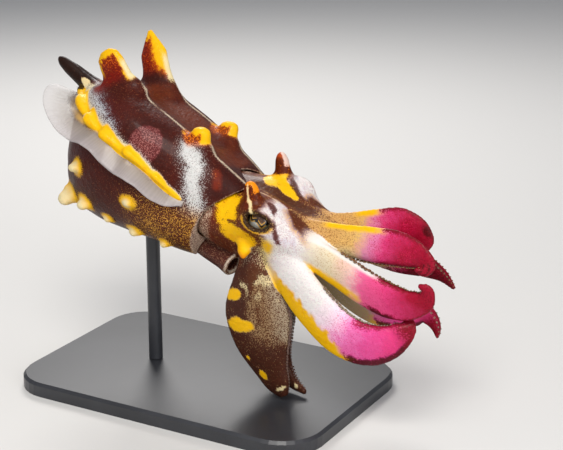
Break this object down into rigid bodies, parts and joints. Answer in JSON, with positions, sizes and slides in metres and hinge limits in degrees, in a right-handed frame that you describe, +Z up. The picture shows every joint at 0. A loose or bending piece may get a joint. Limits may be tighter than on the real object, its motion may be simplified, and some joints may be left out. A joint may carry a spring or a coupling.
{
  "type": "flamboyant cuttlefish display model",
  "caption": "Life-size still model of a flamboyant cuttlefish swimming head down, held by a rod over a flat stand.",
  "frame": {"origin": "centre of the stand's underside, on the surface that it stands on", "axes": "+X the way the animal faces, +Y its left, +Z up"},
  "size_m": [0.127, 0.064, 0.0975],
  "materials": {
    "mantle": "moist soft skin, dark maroon with fine pigment dots, white and yellow marks",
    "fin_left": "moist translucent membrane",
    "fin_right": "moist translucent membrane",
    "head": "moist soft skin, brown, yellow and white in patches",
    "eye_left": "wet and glossy, silvery olive, pupil with a gold rim",
    "eye_right": "wet and glossy, silvery olive, pupil with a gold rim",
    "funnel": "moist brown-purple skin",
    "arm_right_1_base": "moist olive skin",
    "arm_right_1_tip": "moist crimson skin",
    "arm_right_2_base": "moist cream skin",
    "arm_right_2_tip": "moist crimson skin",
    "arm_right_3_base": "moist white skin",
    "arm_right_3_tip": "moist pink skin",
    "arm_right_4_base": "moist dark skin",
    "arm_right_4_tip": "moist dark skin",
    "arm_left_1_base": "moist olive skin",
    "arm_left_1_tip": "moist crimson skin",
    "arm_left_2_base": "moist cream skin",
    "arm_left_2_tip": "moist crimson skin",
    "arm_left_3_base": "moist white skin",
    "arm_left_3_tip": "moist pink skin",
    "arm_left_4_base": "moist dark skin",
    "arm_left_4_tip": "moist dark skin",
    "stand_base": "satin dark paint",
    "stand_rod": "satin dark paint"
  },
  "bodies": {
    "root": {"mantle": "mantle", "fin_left": "fin_left", "fin_right": "fin_right", "head": "head", "eye_left": "eye_left", "eye_right": "eye_right", "funnel": "funnel", "arm_right_1_base": "arm_right_1_base", "arm_right_1_tip": "arm_right_1_tip", "arm_right_2_base": "arm_right_2_base", "arm_right_2_tip": "arm_right_2_tip", "arm_right_3_base": "arm_right_3_base", "arm_right_3_tip": "arm_right_3_tip", "arm_right_4_base": "arm_right_4_base", "arm_right_4_tip": "arm_right_4_tip", "arm_left_1_base": "arm_left_1_base", "arm_left_1_tip": "arm_left_1_tip", "arm_left_2_base": "arm_left_2_base", "arm_left_2_tip": "arm_left_2_tip", "arm_left_3_base": "arm_left_3_base", "arm_left_3_tip": "arm_left_3_tip", "arm_left_4_base": "arm_left_4_base", "arm_left_4_tip": "arm_left_4_tip", "stand_base": "stand_base", "stand_rod": "stand_rod"}
  },
  "joints": []
}
